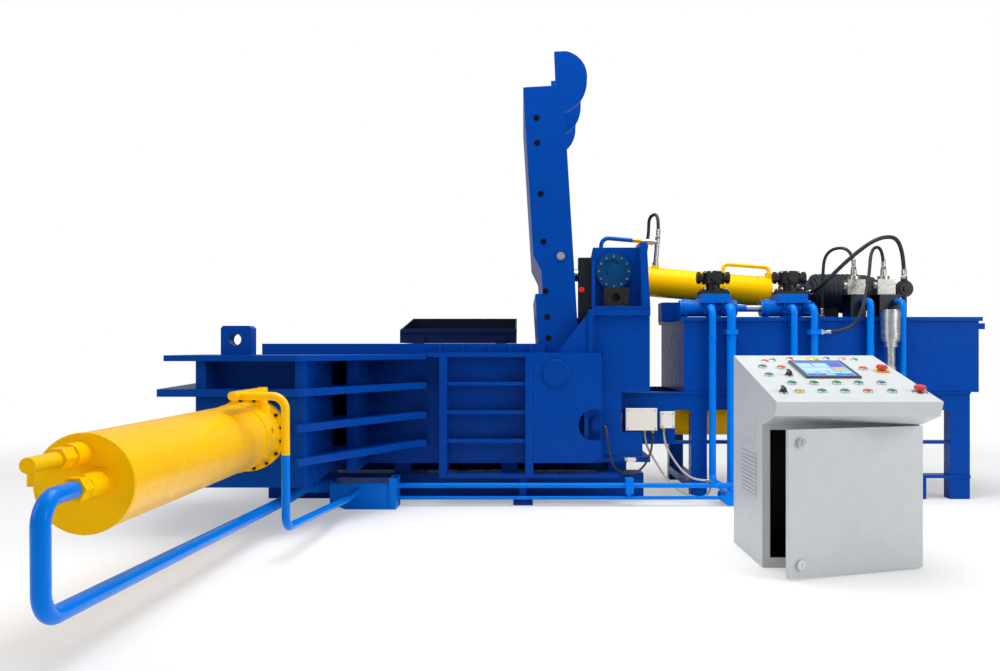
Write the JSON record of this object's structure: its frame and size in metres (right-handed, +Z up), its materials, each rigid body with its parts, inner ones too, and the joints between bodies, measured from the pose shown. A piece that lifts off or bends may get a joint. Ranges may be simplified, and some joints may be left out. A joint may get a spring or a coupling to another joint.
{
  "type": "recycling baler",
  "caption": "Hydraulic scrap baler with a hinged press lid, a side press cylinder, an oil tank power unit and a sloped control console.",
  "frame": {"origin": "floor level under the front foot of the press chamber, on the plane of the front stiffeners", "axes": "+X to the operator's right, +Y away from the operator, +Z up"},
  "size_m": [5.935, 6.2539, 3.31],
  "materials": {
    "machine_blue": "gloss",
    "cylinder_yellow": "gloss",
    "pipe_blue": "gloss",
    "black_steel": "satin",
    "bare_steel": "satin",
    "rod_chrome": "polished",
    "hose_rubber": "matte",
    "cable_grey": "matte",
    "cable_black": "matte",
    "box_grey": "matte",
    "console_grey": "satin",
    "bin_black": "satin",
    "screen": "gloss",
    "bezel_chrome": "polished",
    "lens": "gloss",
    "green": "gloss",
    "orange": "gloss",
    "yellow": "gloss",
    "blue_grey": "gloss",
    "stop_red": "gloss",
    "knob_black": "matte"
  },
  "bodies": {
    "base": {"chamber_frame": "machine_blue", "side_press_box": "machine_blue", "side_cylinder": "cylinder_yellow", "side_feed_pipe": "pipe_blue", "side_return_pipe": "pipe_blue", "cheek_plates": "machine_blue", "pivot_shaft": "bare_steel", "pin_covers": "machine_blue", "main_cylinder": "cylinder_yellow", "feed_bin": "bin_black", "oil_tank": "machine_blue", "power_frame": "machine_blue", "junction_boxes": "box_grey", "valve_manifolds": "pipe_blue", "flange_valves": "black_steel", "relief_valves": "bare_steel", "oil_filter": "bare_steel", "pump_motor": "black_steel", "pipework": "pipe_blue", "switch_column": "black_steel", "console_cabinet": "console_grey", "touch_screen": "screen", "button_bezels": "bezel_chrome", "pilot_lamps": "lens", "arc_hose": "hose_rubber", "loop_hose": "hose_rubber", "drain_hose": "hose_rubber", "box_cable": "cable_grey", "switch_cable": "cable_grey", "sensor_cable": "cable_black"},
    "lid_body": {"lid": "machine_blue", "lid_fasteners": "bare_steel"},
    "lid_barrel": {"lid_cylinder": "cylinder_yellow", "lid_feed_pipe": "pipe_blue", "lid_hose": "hose_rubber"},
    "lid_piston": {"lid_rod": "rod_chrome"},
    "main_ram_body": {"main_ram": "machine_blue"},
    "side_ram_body": {"side_ram": "machine_blue"},
    "gate_body": {"bale_gate": "machine_blue"},
    "door_body": {"console_door": "console_grey"},
    "lock_upper_body": {"door_lock_upper": "bezel_chrome"},
    "lock_lower_body": {"door_lock_lower": "bezel_chrome"},
    "button_start_body": {"button_start": "green"},
    "button_stop_body": {"button_stop": "orange"},
    "button_reset_body": {"button_reset": "orange"},
    "button_pump_body": {"button_pump": "green"},
    "button_lid_raise_body": {"button_lid_raise": "green"},
    "button_lid_lower_body": {"button_lid_lower": "green"},
    "button_ram_out_body": {"button_ram_out": "green"},
    "button_ram_back_body": {"button_ram_back": "green"},
    "button_side_out_body": {"button_side_out": "blue_grey"},
    "button_side_back_body": {"button_side_back": "yellow"},
    "button_gate_open_body": {"button_gate_open": "green"},
    "button_gate_close_body": {"button_gate_close": "green"},
    "button_feed_on_body": {"button_feed_on": "orange"},
    "button_feed_off_body": {"button_feed_off": "blue_grey"},
    "stop_upper_body": {"stop_upper": "stop_red"},
    "stop_lower_body": {"stop_lower": "stop_red"},
    "selector_mode_body": {"selector_mode": "knob_black"},
    "selector_power_body": {"selector_power": "knob_black"}
  },
  "joints": [
    {"name": "lid_hinge", "type": "hinge", "parent": "base", "child": "lid_body", "pos_m": [0.238, 0.94, 0.941], "axis": [0, 1, 0], "range_deg": [-86.55, 0]},
    {"name": "lid_barrel_swing", "type": "hinge", "parent": "base", "child": "lid_barrel", "pos_m": [0.681, 0.94, 1.697], "axis": [0, 1, 0], "range_deg": [-33.49, 0]},
    {"name": "lid_rod_slide", "type": "slide", "parent": "lid_barrel", "child": "lid_piston", "axis": [-0.9963, 0, 0.0865], "range_m": [0, 0.9956]},
    {"name": "main_ram_slide", "type": "slide", "parent": "base", "child": "main_ram_body", "axis": [-1, 0, 0], "range_m": [0, 1.545]},
    {"name": "side_ram_slide", "type": "slide", "parent": "base", "child": "side_ram_body", "axis": [0, 1, 0], "range_m": [0, 1.48]},
    {"name": "bale_gate_slide", "type": "slide", "parent": "base", "child": "gate_body", "axis": [-1, 0, 0], "range_m": [0, 0.56]},
    {"name": "console_door_hinge", "type": "hinge", "parent": "base", "child": "door_body", "pos_m": [2.015, -1.859, 0.365], "axis": [0, 0, 1], "range_deg": [-18, 92]},
    {"name": "lock_upper_turn", "type": "hinge", "parent": "door_body", "child": "lock_upper_body", "pos_m": [1.32888, -2.0935, 0.66], "axis": [0.309, -0.9511, 0], "range_deg": [0, 90]},
    {"name": "lock_lower_turn", "type": "hinge", "parent": "door_body", "child": "lock_lower_body", "pos_m": [1.32888, -2.0935, 0.072], "axis": [0.309, -0.9511, 0], "range_deg": [0, 90]},
    {"name": "button_start_press", "type": "slide", "parent": "base", "child": "button_start_body", "axis": [0, 0.2407, -0.9706], "range_m": [0, 0.004], "stiffness_N_per_m": 1000, "springref_m": -0.001},
    {"name": "button_stop_press", "type": "slide", "parent": "base", "child": "button_stop_body", "axis": [0, 0.2407, -0.9706], "range_m": [0, 0.004], "stiffness_N_per_m": 1000, "springref_m": -0.001},
    {"name": "button_reset_press", "type": "slide", "parent": "base", "child": "button_reset_body", "axis": [0, 0.2407, -0.9706], "range_m": [0, 0.004], "stiffness_N_per_m": 1000, "springref_m": -0.001},
    {"name": "button_pump_press", "type": "slide", "parent": "base", "child": "button_pump_body", "axis": [0, 0.2407, -0.9706], "range_m": [0, 0.004], "stiffness_N_per_m": 1000, "springref_m": -0.001},
    {"name": "button_lid_raise_press", "type": "slide", "parent": "base", "child": "button_lid_raise_body", "axis": [0, 0.2407, -0.9706], "range_m": [0, 0.004], "stiffness_N_per_m": 1000, "springref_m": -0.001},
    {"name": "button_lid_lower_press", "type": "slide", "parent": "base", "child": "button_lid_lower_body", "axis": [0, 0.2407, -0.9706], "range_m": [0, 0.004], "stiffness_N_per_m": 1000, "springref_m": -0.001},
    {"name": "button_ram_out_press", "type": "slide", "parent": "base", "child": "button_ram_out_body", "axis": [0, 0.2407, -0.9706], "range_m": [0, 0.004], "stiffness_N_per_m": 1000, "springref_m": -0.001},
    {"name": "button_ram_back_press", "type": "slide", "parent": "base", "child": "button_ram_back_body", "axis": [0, 0.2407, -0.9706], "range_m": [0, 0.004], "stiffness_N_per_m": 1000, "springref_m": -0.001},
    {"name": "button_side_out_press", "type": "slide", "parent": "base", "child": "button_side_out_body", "axis": [0, 0.2407, -0.9706], "range_m": [0, 0.004], "stiffness_N_per_m": 1000, "springref_m": -0.001},
    {"name": "button_side_back_press", "type": "slide", "parent": "base", "child": "button_side_back_body", "axis": [0, 0.2407, -0.9706], "range_m": [0, 0.004], "stiffness_N_per_m": 1000, "springref_m": -0.001},
    {"name": "button_gate_open_press", "type": "slide", "parent": "base", "child": "button_gate_open_body", "axis": [0, 0.2407, -0.9706], "range_m": [0, 0.004], "stiffness_N_per_m": 1000, "springref_m": -0.001},
    {"name": "button_gate_close_press", "type": "slide", "parent": "base", "child": "button_gate_close_body", "axis": [0, 0.2407, -0.9706], "range_m": [0, 0.004], "stiffness_N_per_m": 1000, "springref_m": -0.001},
    {"name": "button_feed_on_press", "type": "slide", "parent": "base", "child": "button_feed_on_body", "axis": [0, 0.2407, -0.9706], "range_m": [0, 0.004], "stiffness_N_per_m": 1000, "springref_m": -0.001},
    {"name": "button_feed_off_press", "type": "slide", "parent": "base", "child": "button_feed_off_body", "axis": [0, 0.2407, -0.9706], "range_m": [0, 0.004], "stiffness_N_per_m": 1000, "springref_m": -0.001},
    {"name": "stop_upper_press", "type": "slide", "parent": "base", "child": "stop_upper_body", "axis": [0, 0.2407, -0.9706], "range_m": [0, 0.004]},
    {"name": "stop_lower_press", "type": "slide", "parent": "base", "child": "stop_lower_body", "axis": [0, 0.2407, -0.9706], "range_m": [0, 0.004]},
    {"name": "selector_mode_turn", "type": "hinge", "parent": "base", "child": "selector_mode_body", "pos_m": [1.409, -1.66097, 0.97034], "axis": [0, -0.2407, 0.9706], "range_deg": [-45, 45]},
    {"name": "selector_power_turn", "type": "hinge", "parent": "base", "child": "selector_power_body", "pos_m": [1.291, -1.96573, 0.89476], "axis": [0, -0.2407, 0.9706], "range_deg": [-45, 45]}
  ],
  "couplings": [
    {"joint": "lid_barrel_swing", "follows": "lid_hinge", "ratio": 0.38687},
    {"joint": "lid_rod_slide", "follows": "lid_hinge", "m_per_rad": -0.65904}
  ]
}
